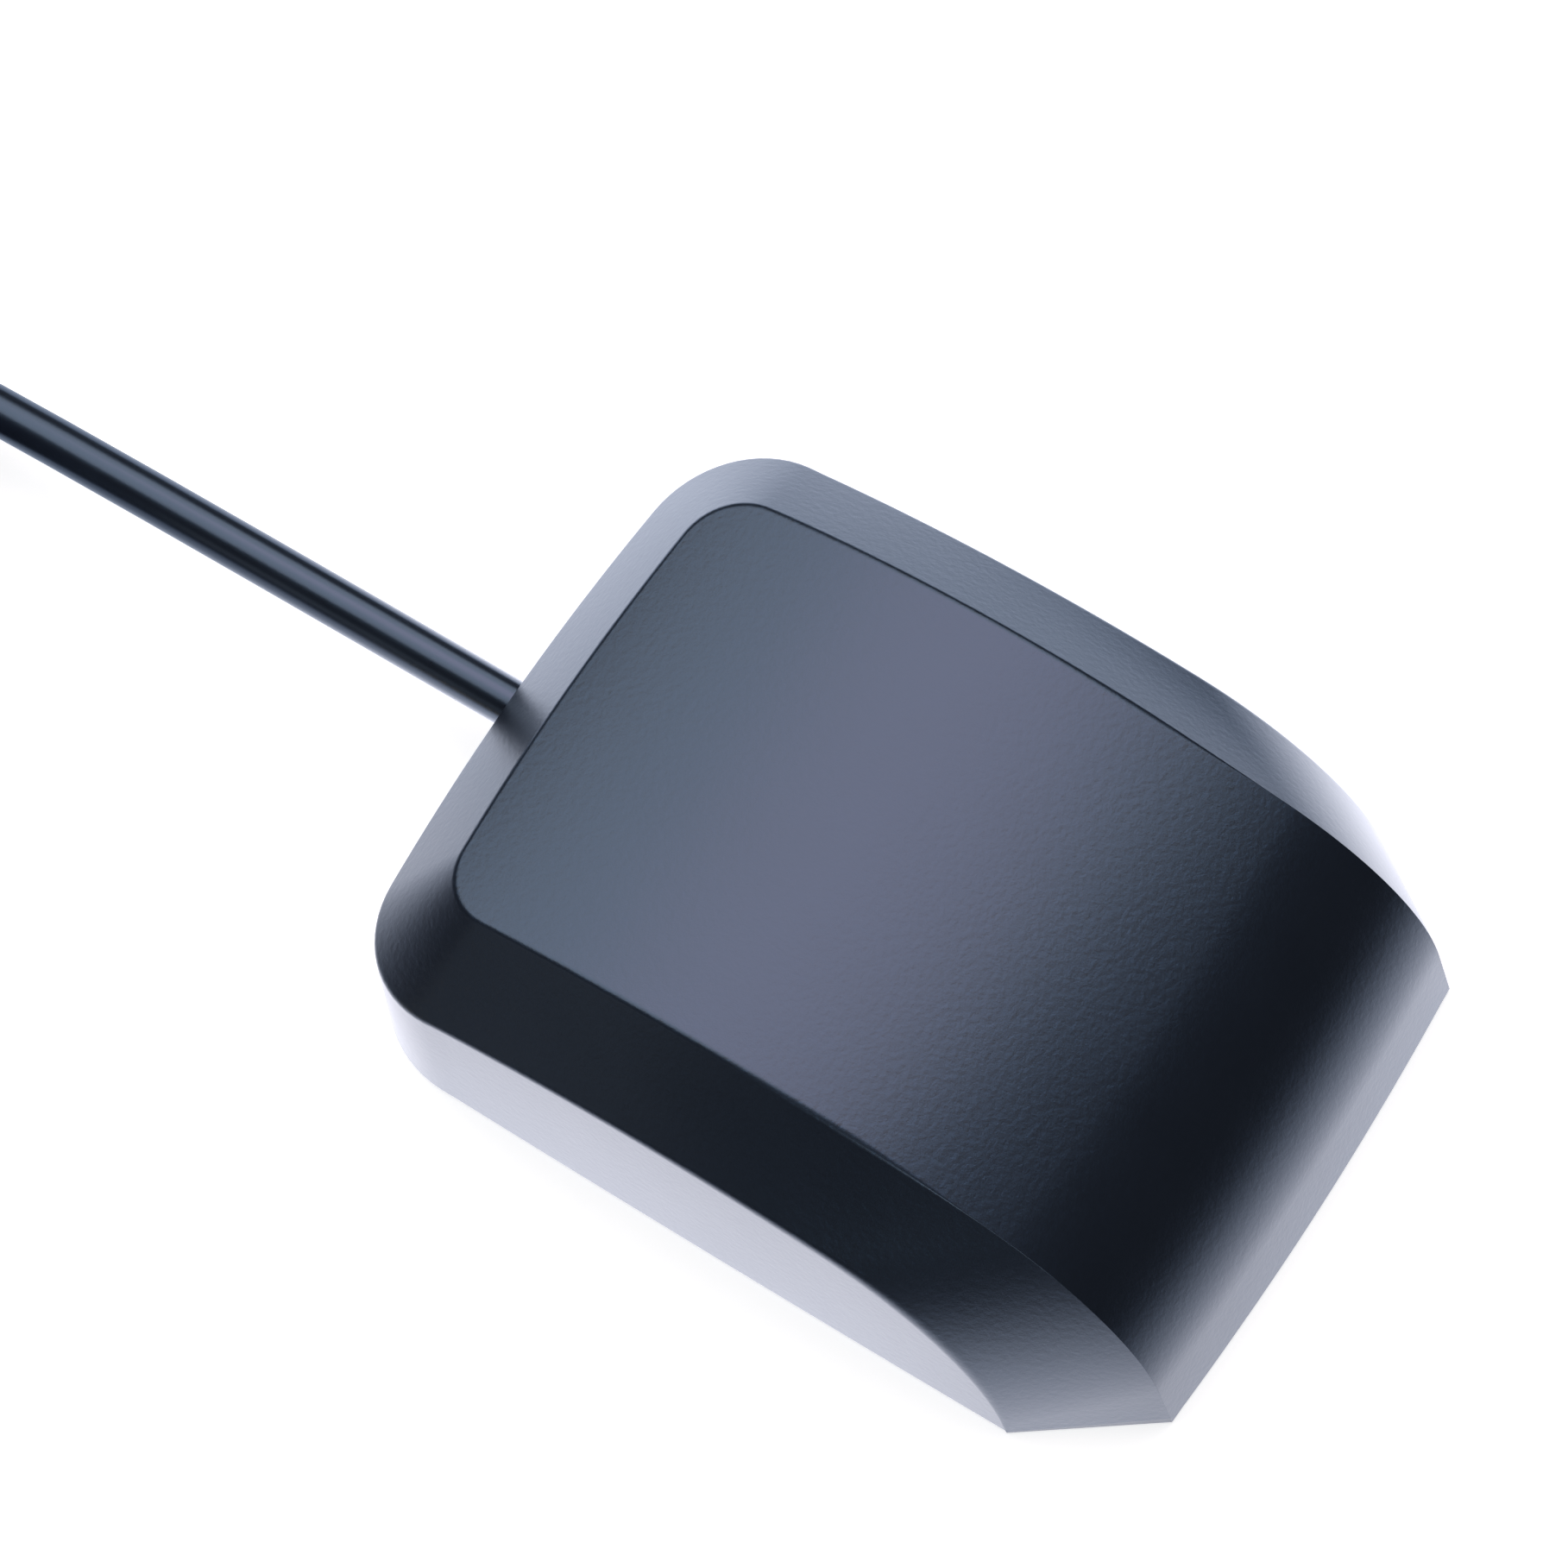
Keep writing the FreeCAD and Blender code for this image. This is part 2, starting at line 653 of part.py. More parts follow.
coil_rest_z = cable_radius + coil_slack / 2
cable_points = [
    Vector(jacket_end_x, 0, cable_exit_z),
    Vector(level_end_x, 0, cable_exit_z),
    Vector(droop_end_x, 0, droop_end_z),
    Vector(coil_x, 0, coil_rest_z),
]
cable, laid_length = sweep_cable("cable", cable_points)
save("cable", cable)

save("cable_braid_end", rod(braid_diameter / 2, jacket_end_x, braid_end_x, 0, cable_exit_z))
save("cable_insulation_end", rod(insulation_diameter / 2, braid_end_x, insulation_end_x,
                                 0, cable_exit_z))

# The bare core turns up to the board's underside
bend_start = Vector(insulation_end_x + core_bend, 0, cable_exit_z)
bend_end = bend_start + Vector(core_bend, 0, core_bend)
bend_middle = bend_start + Vector(core_bend * math.sin(math.pi / 4), 0,
                                  core_bend * (1 - math.cos(math.pi / 4)))
core_start = Vector(insulation_end_x, 0, cable_exit_z)
core_wire = Part.Wire([
    Part.LineSegment(core_start, bend_start).toShape(),
    Part.Arc(bend_start, bend_middle, bend_end).toShape(),
    Part.LineSegment(bend_end, Vector(bend_end.x, 0, board_bottom)).toShape(),
])
core_profile = Part.Wire([Part.makeCircle(core_diameter / 2, core_start, ALONG)])
save("cable_core_end", core_wire.makePipeShell([core_profile], True, False))

# Coil: the bundle's outer form as one ring, with the cable's two ends let into its outer turns

tail_z = coil_rest_z + tail_layer * cable_diameter
tail_estimate = math.hypot(tail_descent, tail_z - plug_body_radius) + tail_end_run
turns = coil_columns * coil_layers - 0.5   # the tail leaves on the side away from the housing's middle
coil_mean_radius = (cable_length - laid_length - tail_estimate) / (2 * math.pi * turns)
coil_width = coil_columns * cable_diameter + coil_slack
coil_height = coil_layers * cable_diameter + coil_slack
outer_turn_radius = coil_mean_radius + (coil_columns - 1) / 2 * cable_diameter
coil_centre = Vector(coil_x, -outer_turn_radius, 0)
tail_y = -2 * outer_turn_radius
tail_x = coil_x + tail_descent
tail_points = [
    Vector(coil_x, tail_y, tail_z),
    Vector(tail_x, tail_y, plug_body_radius),
    Vector(tail_x + tail_end_run, tail_y, plug_body_radius),
]
tail, tail_length = sweep_cable("tail", tail_points)
save("cable_tail", tail)

corner = coil_rest_z
low = coil_mean_radius - coil_width / 2
high = coil_mean_radius + coil_width / 2
ring_section = Part.Face(polygon([
    Vector(low, 0, 0), Vector(high, 0, 0), Vector(high, 0, coil_height), Vector(low, 0, coil_height)]))
ring = ring_section.revolve(HERE, UP, 360)
ring = ring.makeFillet(corner, ring.Edges)
ring.translate(coil_centre)
save("cable_coil", ring.cut(cable).cut(tail))
coiled_length = cable_length - laid_length - tail_length
print(f"cable: {laid_length:.1f} mm laid, {coiled_length:.1f} mm in {turns} turns of mean radius "
      f"{coil_mean_radius:.2f} mm, {tail_length:.1f} mm tail")

# Plug: boot and ferrule over the cable's end, then a turned body with a slotted push-on sleeve

plug_x = tail_points[-1].x
ferrule_x = plug_x - ferrule_length
boot_x = ferrule_x - boot_length


def tail_rod(radius, start_x, end_x):
    return rod(radius, start_x, end_x, tail_y, plug_body_radius)


tail_bore = tail_rod(cable_radius, boot_x, plug_x)
boot = Part.makeCone(cable_radius + boot_wall, ferrule_radius, boot_length,
                     Vector(boot_x, tail_y, plug_body_radius), ALONG)
save("plug_boot", boot.cut(tail_bore))
save("crimp_ferrule", tail_rod(ferrule_radius, ferrule_x, plug_x).cut(tail_bore))

body_end = plug_body_length
sleeve_end = body_end + plug_sleeve_length
sleeve_bore = plug_sleeve_radius - plug_sleeve_wall
step_radius = plug_body_radius - plug_step_drop
bead_radius = plug_sleeve_radius + plug_bead
body_profile = [
    (0, plug_pin_radius + fit_gap),
    (0, step_radius),
    (plug_step, step_radius),
    (plug_step, plug_body_radius),
    (body_end - plug_step, plug_body_radius),
    (body_end - plug_step, step_radius),
    (body_end, step_radius),
    (body_end, plug_sleeve_radius),
    (sleeve_end - plug_bead_length, plug_sleeve_radius),
    (sleeve_end - plug_bead_length / 2, bead_radius),
    (sleeve_end, plug_sleeve_radius),
    (sleeve_end, sleeve_bore),
    (body_end, sleeve_bore),
    (body_end, plug_insulator_radius),
    (plug_back_wall, plug_insulator_radius),
    (plug_back_wall, plug_pin_radius + fit_gap),
]
body_face = Part.Face(polygon([Vector(x, 0, r) for x, r in body_profile]))
body = body_face.revolve(HERE, ALONG, 360)
body.translate(Vector(plug_x, tail_y, plug_body_radius))
slot_x = plug_x + sleeve_end - plug_slot_length / 2
for size_y, size_z in [(plug_slot_width, DEEP), (DEEP, plug_slot_width)]:
    body = body.cut(block(plug_slot_length, size_y, size_z, slot_x, tail_y,
                          plug_body_radius - size_z / 2))
save("plug_body", body)

insulator = tail_rod(plug_insulator_radius, plug_x + plug_back_wall, plug_x + body_end)
insulator = insulator.fuse(tail_rod(sleeve_bore - fit_gap, plug_x + body_end,
                                    plug_x + sleeve_end - plug_insulator_recess))
pin = tail_rod(plug_pin_radius, plug_x, plug_x + sleeve_end - plug_insulator_recess / 2)
save("plug_insulator", insulator.cut(pin))
save("plug_pin", pin)
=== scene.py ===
import bmesh
import bpy
import math
from mathutils import Matrix, Vector


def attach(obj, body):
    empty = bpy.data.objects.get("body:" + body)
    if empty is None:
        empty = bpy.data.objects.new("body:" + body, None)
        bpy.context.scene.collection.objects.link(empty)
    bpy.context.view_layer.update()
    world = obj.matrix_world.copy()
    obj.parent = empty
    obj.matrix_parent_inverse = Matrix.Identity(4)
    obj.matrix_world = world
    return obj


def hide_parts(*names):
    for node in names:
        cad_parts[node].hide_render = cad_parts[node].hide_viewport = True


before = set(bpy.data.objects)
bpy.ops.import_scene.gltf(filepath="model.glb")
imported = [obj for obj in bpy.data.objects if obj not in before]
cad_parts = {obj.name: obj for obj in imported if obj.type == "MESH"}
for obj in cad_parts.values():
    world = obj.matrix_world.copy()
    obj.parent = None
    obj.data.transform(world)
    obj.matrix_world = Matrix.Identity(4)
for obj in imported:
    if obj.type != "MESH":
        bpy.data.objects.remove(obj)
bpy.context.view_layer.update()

# Housing
# One hollow piece of black plastic, moulded with a fine spark-eroded grain, open underneath. Its
# arched panel runs down to the base at the nose, and a bevel goes round the other three sides.

# Sizes are in millimetres up to the mesh, and angles in degrees up to the sines.
length, width, height = 50.3, 38.0, 17.0
apex_x = -1.65                  # the highest point of the arch
wall_edge_height = 12.05        # of the edge between bevel and wall, at the same place
wall_draft = 3
wall = 2.0
rim_wall, rim_lift = 1.2, 0.2   # the wall's lower edge, and its distance from the surface
side_bow, rear_bow, nose_bow = 0.2, 1.33, 0.95
base_corner_radius, panel_corner_radius = 6.8, 3.4
bevel_side, bevel_rear = 5.4, 4.65
panel_rear_bow, panel_flare = 1.44, 0.5
grain_scale, grain_depth = 2600, 0.00003


def between(start, end, share):
    return start + share * (end - start)


def shares(count):
    return [k / count for k in range(count)]


class Arch:
    """Side view of an arched line: a crown arc, a nose arc and a straight slope down to the base."""

    def __init__(self, top, crown, turn, nose, slope):
        self.top, self.crown, self.nose, self.apex = top, crown, nose, apex_x
        self.turn, self.slope = math.radians(turn), math.radians(slope)
        self.turn_x = self.apex + crown * math.sin(self.turn)
        self.turn_z = top - crown * (1 - math.cos(self.turn))
        self.slope_x = self.turn_x + nose * (math.sin(self.slope) - math.sin(self.turn))
        self.slope_z = self.turn_z - nose * (math.cos(self.turn) - math.cos(self.slope))
        self.nose_start = crown * self.turn
        self.slope_start = self.nose_start + nose * (self.slope - self.turn)

    def at(self, run):
        """The point a given run of arc past the highest point, negative towards the rear."""
        if run <= self.nose_start:
            angle = run / self.crown
            return (self.apex + self.crown * math.sin(angle),
                    self.top - self.crown * (1 - math.cos(angle)))
        if run <= self.slope_start:
            angle = self.turn + (run - self.nose_start) / self.nose
            return (self.turn_x + self.nose * (math.sin(angle) - math.sin(self.turn)),
                    self.turn_z - self.nose * (math.cos(self.turn) - math.cos(angle)))
        left = run - self.slope_start
        return self.slope_x + left * math.cos(self.slope), self.slope_z - left * math.sin(self.slope)

    def run_to_x(self, x):
        """The run that reaches x on the crown arc."""
        return self.crown * math.asin((x - self.apex) / self.crown)

    def run_to_z(self, z):
        """The run that reaches height z on the slope."""
        return self.slope_start + (self.slope_z - z) / math.sin(self.slope)


class Skin:
    """The housing's outer form, or the same form drawn in by an inset, as rings of points."""

    def __init__(self, inset, base, panel_round, wall_round, base_round):
        self.base = base
        self.rounds = (base_round, wall_round, panel_round)
        self.half_width = width / 2 - inset
        self.rear = -length / 2 + inset
        self.lean = math.tan(math.radians(wall_draft))
        self.corner = base_corner_radius - inset
        self.swing = self.bow_radius(nose_bow)
        self.rear_swing = self.bow_radius(rear_bow) - inset
        self.panel_rear_swing = self.bow_radius(panel_rear_bow) - inset
        self.panel = Arch(height - inset, crown=60.0 - inset, turn=16.4,
                          nose=13.0 - inset, slope=80.0)
        self.edge = Arch(wall_edge_height - inset, crown=68.0 - inset, turn=6.9,
                         nose=12.75 - inset, slope=79.8)

    def bow_radius(self, bow):
        """Radius of the arc that swells by a bow over the half width."""
        return (width / 2) ** 2 / (2 * bow)

    def side(self, x):
        """Half the housing's width down at the base."""
        return self.half_width - side_bow * (2 * x / length) ** 2

    def panel_point(self, run, y):
        x, z = self.panel.at(run)
        return Vector((x - y * y / (2 * self.swing), y, z))

    def panel_side(self, x):
        """Half the panel's width, which grows over the front third of the housing."""
        share = max(0.0, 3 * x / length - 0.5)
        return self.side(x) - bevel_side + panel_flare * share ** 2

    def rear_corner(self, rear, swing, side, radius):
        """Centre of the arc of a rear corner, and the angle where it runs into the rear's arc."""
        y = side - radius
        x = rear + swing - math.sqrt((swing - radius) ** 2 - y ** 2)
        return Vector((x, y)), math.atan2(y, x - rear - swing)

    def stations(self):
        """From the nose's foot round one side to the middle of the rear: the run and side of the
        panel's edge, the point on the wall's edge, and the wall's outward direction."""
        panel, edge = self.panel, self.edge
        found = []

        def along(share, start_up, end_up, start_low, end_low):
            run = between(start_up, end_up, share)
            x, z = edge.at(between(start_low, end_low, share))
            low = Vector((x, self.side(x) - self.lean * z, z))
            found.append((run, self.panel_side(panel.at(run)[0]), low, Vector((0, 1, 0))))
        for share in shares(8):
            along(share, panel.run_to_z(self.base), panel.slope_start,
                  edge.run_to_z(self.base), edge.slope_start)
        for share in shares(22):
            along(share, panel.slope_start, panel.nose_start, edge.slope_start, edge.nose_start)
        drop = self.lean * edge.at(edge.run_to_x(self.rear))[1]
        edge_rear, edge_round = self.rear + drop, self.corner - drop
        edge_corner, edge_meeting = self.rear_corner(
            edge_rear, self.rear_swing, self.half_width - side_bow - drop, edge_round)
        panel_rear, panel_round = self.rear + bevel_rear, panel_corner_radius
        panel_corner, panel_meeting = self.rear_corner(
            panel_rear, self.panel_rear_swing, self.panel_side(panel_rear + panel_round),
            panel_round)
        arch_end = panel_corner.x + (panel_corner.y + panel_round) ** 2 / (2 * self.swing)
        for share in shares(28):
            along(share, panel.nose_start, panel.run_to_x(arch_end),
                  edge.nose_start, edge.run_to_x(edge_corner.x))

        def across(high, low, out):
            run = panel.run_to_x(high.x + high.y ** 2 / (2 * self.swing))
            z = edge.at(edge.run_to_x(low.x))[1]
            found.append((run, high.y, Vector((low.x, low.y, z)), out))

        def ray(angle):
            return Vector((math.cos(angle), math.sin(angle)))
        for share in shares(16):
            high = ray(between(math.pi / 2, panel_meeting, share))
            low = ray(between(math.pi / 2, edge_meeting, share))
            across(panel_corner + high * panel_round, edge_corner + low * edge_round, low.to_3d())
        panel_centre = Vector((panel_rear + self.panel_rear_swing, 0))
        edge_centre = Vector((edge_rear + self.rear_swing, 0))
        for share in shares(10) + [1.0]:
            high = ray(between(panel_meeting, math.pi, share))
            low = ray(between(edge_meeting, math.pi, share))
            across(panel_centre + high * self.panel_rear_swing,
                   edge_centre + low * self.rear_swing, low.to_3d())
        return found

    def rounded(self, before, corner, after, radius):
        """Eight points that round off a corner: an arc of six, and a supporting point on each side.
        Where a line has no room or makes no turn, all eight fall on the corner."""
        towards, onward = before - corner, after - corner
        room = min(towards.length, onward.length)
        half_turn = (math.pi - towards.angle(onward, 0.0)) / 2
        if room < 1e-4 or half_turn < 1e-3:
            return [corner.copy() for k in range(8)]
        towards.normalize()
        onward.normalize()
        cut = min(radius * math.tan(half_turn), room * 0.4)
        radius = cut / math.tan(half_turn)
        middle = corner + (towards + onward).normalized() * radius / math.cos(half_turn)
        first, last = corner + towards * cut, corner + onward * cut
        arc = []
        for share in shares(5) + [1.0]:
            arm = (first - middle).normalized().slerp((last - middle).normalized(), share)
            arc.append(middle + arm * radius)
        extra = min(cut * 0.35, room * 0.08)
        return [first + towards * extra] + arc + [last + onward * extra]

    def profiles(self):
        """One line of points for each station all the way round, from the base to the middle of
        the panel. At the nose the panel itself comes down to the base."""
        half = self.stations()
        rear_middle = self.panel.run_to_x(-14.0)

        def inside(run, y):
            """The points of the panel between its edge and its middle line: straight across, but
            run together on one point at the rear and at the foot of the nose."""
            middle = min(max(run, rear_middle), self.panel.slope_start)
            parts = [0.93, 0.88, 0.82, 0.75, 0.67, 0.59, 0.5, 0.4, 0.3, 0.2, 0.1, 0.0]
            return [self.panel_point(between(middle, run, part), part * y) for part in parts]

        def profile(run, y, low, out):
            """A station's points. The panel's edge is fully rounded in the rear half, and gets
            crisp over the next 6 mm."""
            crisp = min(max(1 - low.x / 6, 0.06), 1)
            foot = Vector((low.x, low.y, self.base)) + out * self.lean * (low.z - self.base)
            under = foot - out * 3
            high = self.panel_point(run, y)
            panel_points = inside(run, y)
            line = self.rounded(under, foot, low, self.rounds[0])[1:]
            line += self.rounded(foot, low, high, self.rounds[1])
            line += [low.lerp(high, part) for part in (0.3, 0.5, 0.7)]
            line += self.rounded(low, high, panel_points[0], self.rounds[2] * crisp)
            return line + panel_points

        lines = [profile(*station) for station in half]

        def flipped(line):
            return [Vector((p.x, -p.y, p.z)) for p in line]
        lines += [flipped(line) for line in reversed(lines[:-1])]
        run, side = half[0][:2]
        for share in shares(28)[1:]:
            y = between(-side, side, share)
            foot = self.panel_point(run, y)
            panel_points = inside(run, y)
            bend = self.rounded(foot - Vector((3, 0, 0)), foot, panel_points[0], self.rounds[0])[1:]
            spare = len(lines[0]) - len(bend) - len(panel_points)
            lines.append(bend + [bend[-1].copy() for k in range(spare)] + panel_points)
        return lines


def mesh_object(name, points, faces):
    """A smooth mesh from points in millimetres. Points that meet are made one."""
    mesh = bpy.data.meshes.new(name)
    mesh.from_pydata([tuple(0.001 * c for c in p) for p in points], [], faces)
    work = bmesh.new()
    work.from_mesh(mesh)
    bmesh.ops.remove_doubles(work, verts=work.verts, dist=2e-6)
    bmesh.ops.recalc_face_normals(work, faces=work.faces)
    work.to_mesh(mesh)
    work.free()
    mesh.shade_smooth()
    made = bpy.data.objects.new(name, mesh)
    bpy.context.scene.collection.objects.link(made)
    return made


def housing_mesh():
    """The outer skin, the lower rim round the base's recess, and the skin of the space inside."""
    recess_top = 2.4
    outer = Skin(0, rim_lift, panel_round=0.5, wall_round=0.6, base_round=0.25).profiles()
    rim = Skin(rim_wall, rim_lift, panel_round=0.1, wall_round=0.1, base_round=0.01).profiles()
    inner = Skin(wall, recess_top, panel_round=0.5, wall_round=0.5, base_round=0.01).profiles()
    recess = [line[0] for line in rim]
    count = len(outer)
    rings = [[line[k] for line in outer] for k in reversed(range(len(outer[0])))]
    rings.append(recess)
    rings.append([Vector((p.x, p.y, recess_top)) for p in recess])
    rings += [[line[k] for line in inner] for k in range(len(inner[0]))]
    points = [p for ring in rings for p in ring]
    faces = []
    for r in range(len(rings) - 1):
        for k in range(count):
            n = (k + 1) % count
            faces.append((r * count + k, r * count + n, (r + 1) * count + n, (r + 1) * count + k))
    return mesh_object("housing_skin", points, faces)


class Signal:
    """An output in a material's node tree. Arithmetic on signals adds Math nodes."""

    def __init__(self, tree, socket=None):
        self.tree, self.socket = tree, socket

    def node(self, kind, settings=None, inputs=None, output=0):
        """A new node: its type, its settings, the values or links of its sockets."""
        made = self.tree.nodes.new(kind)
        for name, value in (settings or {}).items():
            setattr(made, name, value)
        for name, value in (inputs or {}).items():
            if isinstance(value, Signal):
                self.tree.links.new(value.socket, made.inputs[name])
            else:
                made.inputs[name].default_value = value
        return Signal(self.tree, made.outputs[output] if made.outputs else None)

    def math(self, operation, a, b=0.0):
        return self.node("ShaderNodeMath", {"operation": operation}, {0: a, 1: b})

    def __add__(self, other):
        return self.math("ADD", self, other)

    def __radd__(self, other):
        return self.math("ADD", other, self)

    def __sub__(self, other):
        return self.math("SUBTRACT", self, other)

    def __rsub__(self, other):
        return self.math("SUBTRACT", other, self)

    def __mul__(self, other):
        return self.math("MULTIPLY", self, other)

    def __rmul__(self, other):
        return self.math("MULTIPLY", other, self)

    def __truediv__(self, other):
        return self.math("DIVIDE", self, other)

    def __rtruediv__(self, other):
        return self.math("DIVIDE", other, self)

    def noise(self, scale, detail=2.0, roughness=0.5):
        """Noise between 0 and 1 over the object's own coordinates, features per metre."""
        place = self.node("ShaderNodeTexCoord", output="Object")
        return self.node("ShaderNodeTexNoise", None, {
            "Vector": place, "Scale": scale, "Detail": detail, "Roughness": roughness}, "Fac")

    def blend(self, share, low, high):
        """A colour between two others."""
        mixer = self.node("ShaderNodeMix", {"data_type": "RGBA"}, {"Factor": share}).socket.node
        for socket, colour in zip([s for s in mixer.inputs if s.type == "RGBA"], (low, high)):
            socket.default_value = colour
        return Signal(self.tree, [s for s in mixer.outputs if s.type == "RGBA"][0])

    def bump(self, depth, strength=1.0):
        """The tilt of a surface that has this signal for its height."""
        return self.node("ShaderNodeBump", None, {
            "Strength": strength, "Distance": depth, "Height": self})

    def feed(self, shader, name):
        """Links the signal to a socket of the main shader."""
        self.tree.links.new(self.socket, shader.inputs[name])


def new_material(name):
    """An empty material with its start signal and its main shader."""
    material = bpy.data.materials.new(name)
    material.use_nodes = True
    return material, Signal(material.node_tree), material.node_tree.nodes["Principled BSDF"]


def dress(material, *nodes):
    """Gives carried-over pieces their finish."""
    for node in nodes:
        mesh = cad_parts[node].data
        mesh.materials.clear()
        mesh.materials.append(material)


def resin_skin(material, coat_roughness):
    """Black plastic's resin-rich surface: glossy, and bluish where it is looked at squarely."""
    shader = material.node_tree.nodes["Principled BSDF"]
    shader.inputs["IOR"].default_value = 1.8
    shader.inputs["Specular Tint"].default_value = (0.3, 0.59, 1.0, 1)
    shader.inputs["Coat Weight"].default_value = 1.0
    shader.inputs["Coat Roughness"].default_value = coat_roughness


def moulded_plastic(name, low, high, grain, depth, roughness):
    """Plastic from a textured mould: faint mottling, a fine grain, and an even satin gloss."""
    material, start, shader = new_material(name)
    mottle = start.noise(180, 3)
    fine = start.noise(grain, 3, 0.6)
    start.blend(mottle * 0.7 + fine * 0.3, low, high).feed(shader, "Base Color")
    (roughness - 0.05 + mottle * 0.05 + fine * 0.05).feed(shader, "Roughness")
    fine.bump(depth).feed(shader, "Normal")
    return material


housing = housing_mesh()
black_plastic = moulded_plastic("black_moulded_plastic", (0.0045, 0.006, 0.0105, 1),
                                (0.009, 0.011, 0.0175, 1), grain_scale, grain_depth, 0.34)
resin_skin(black_plastic, 0.29)
housing.data.materials.append(black_plastic)
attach(housing, "root")
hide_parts("radome_shell")

# Base
# A zinc-plated steel plate screwed up into the housing, with a foam ring above its edge and a
# rubber pad glued underneath, and two nickel-plated magnets on top of it.


def rubber(name, low, high, grain, depth, roughness):
    """Rubber or foam: nearly black, with shallow pits."""
    material, start, shader = new_material(name)
    pits = start.noise(grain, 3, 0.6)
    start.blend(start.noise(90), low, high).feed(shader, "Base Color")
    (roughness + pits * 0.12).feed(shader, "Roughness")
    pits.bump(depth).feed(shader, "Normal")
    return material


def plated_metal(name, low, high, roughness, brush=0.00001):
    """Metal with a thin plating: a slight change of tone and fine drawn marks along X."""
    material, start, shader = new_material(name)
    place = start.node("ShaderNodeTexCoord", output="Object")
    drawn = start.node("ShaderNodeMapping", None, {"Vector": place, "Scale": (0.08, 1.0, 1.0)})
    marks = start.node("ShaderNodeTexNoise", None, {"Vector": drawn, "Scale": 6000.0}, "Fac")
    start.blend(start.noise(220), low, high).feed(shader, "Base Color")
    (roughness - 0.06 + marks * 0.12).feed(shader, "Roughness")
    marks.bump(brush, 0.6).feed(shader, "Normal")
    shader.inputs["Metallic"].default_value = 1.0
    return material


pad_rubber = rubber("pad_rubber", (0.012, 0.012, 0.013, 1), (0.022, 0.022, 0.024, 1),
                    2600, 0.00002, 0.6)
gasket_foam = rubber("gasket_foam", (0.03, 0.03, 0.032, 1), (0.06, 0.06, 0.062, 1),
                     3500, 0.00005, 0.8)
zinc = plated_metal("zinc_plated_steel", (0.5, 0.51, 0.54, 1), (0.62, 0.63, 0.65, 1), 0.38)
nickel = plated_metal("nickel_plating", (0.6, 0.58, 0.54, 1), (0.7, 0.68, 0.63, 1), 0.24)
dress(pad_rubber, "base_pad")
dress(gasket_foam, "base_gasket")
dress(zinc, "base_plate", "base_screws")
dress(nickel, "magnets")

# Receiver board
# A green laminate with a tinned can soldered under it, over a filter and two amplifier chips.
# Ribs of the housing press it down, so that the can rests on the magnets.

laminate = moulded_plastic("board_laminate", (0.01, 0.075, 0.035, 1), (0.02, 0.12, 0.055, 1),
                           1800, 0.000003, 0.32)
tinned_steel = plated_metal("tinned_steel", (0.66, 0.66, 0.66, 1), (0.76, 0.76, 0.75, 1), 0.3)
chip_resin = moulded_plastic("chip_resin", (0.014, 0.014, 0.015, 1), (0.03, 0.03, 0.031, 1),
                             7000, 0.000004, 0.55)
dress(laminate, "circuit_board")
dress(tinned_steel, "shield_can")
dress(chip_resin, "amplifier_chips")

# Patch
# A block of fired ceramic with silver fired on both faces. The upper silver has two cut corners,
# and a tinned pin goes through the block into the board. White tape holds it down.

ceramic = moulded_plastic("fired_ceramic", (0.62, 0.55, 0.43, 1), (0.74, 0.68, 0.56, 1),
                          3000, 0.000006, 0.5)
silver = plated_metal("fired_silver", (0.78, 0.77, 0.74, 1), (0.87, 0.86, 0.83, 1), 0.42)
white_tape = moulded_plastic("white_tape", (0.74, 0.74, 0.71, 1), (0.84, 0.84, 0.81, 1),
                             2400, 0.00001, 0.7)
tinned_pin = plated_metal("tinned_pin", (0.7, 0.68, 0.62, 1), (0.8, 0.78, 0.72, 1), 0.25)
dress(ceramic, "patch_ceramic")
dress(silver, "patch_electrode", "ground_electrode")
dress(white_tape, "patch_tape")
dress(tinned_pin, "feed_pin")

# Cable
# Thin coaxial cable with a satin black jacket. It leaves the middle of the rear wall level,
# droops a little, comes down to the surface, and the rest of it is wound into a coil.

strand = 2.7
columns, layers = 5, 6
mean_radius = 15.65
outer_radius = mean_radius + 2 * strand
coil_middle = Vector((-80.0, -outer_radius, 0.0))
coil_lift = 1.45                # middle of the lowest strands above the surface
turn_steps = 16                 # corner points of one turn
shift_steps = 3                 # the last of them lead over to the next turn
spread = 1 / math.cos(math.pi / turn_steps)     # the corners stand outside the round line


def coil_points():
    """Corner points of the coil's turns: six layers, wound inwards and outwards in turn. The outer
    column is left free above the first layer and filled last, from the top down."""
    places = [(column, 0) for column in range(columns)]
    for layer in range(1, layers):
        inner = list(range(1, columns))
        places += [(column, layer) for column in (reversed(inner) if layer % 2 else inner)]
    places += [(0, layer) for layer in range(layers - 1, 0, -1)]
    found = []
    for place, (column, layer) in enumerate(places):
        last = place == len(places) - 1
        next_column, next_layer = places[place if last else place + 1]
        for step in range(turn_steps // 2 if last else turn_steps):
            share = max(0.0, 1 - (turn_steps - step - 0.5) / shift_steps)
            climb = math.sqrt(1 - (1 - share) ** 2)
            radius = outer_radius - strand * between(column, next_column, share)
            z = coil_lift + strand * between(layer, next_layer, climb)
            angle = math.pi / 2 + 2 * math.pi * (step + 0.5) / turn_steps
            found.append(coil_middle + Vector((radius * spread * math.cos(angle),
                                               radius * spread * math.sin(angle), z)))
    return found


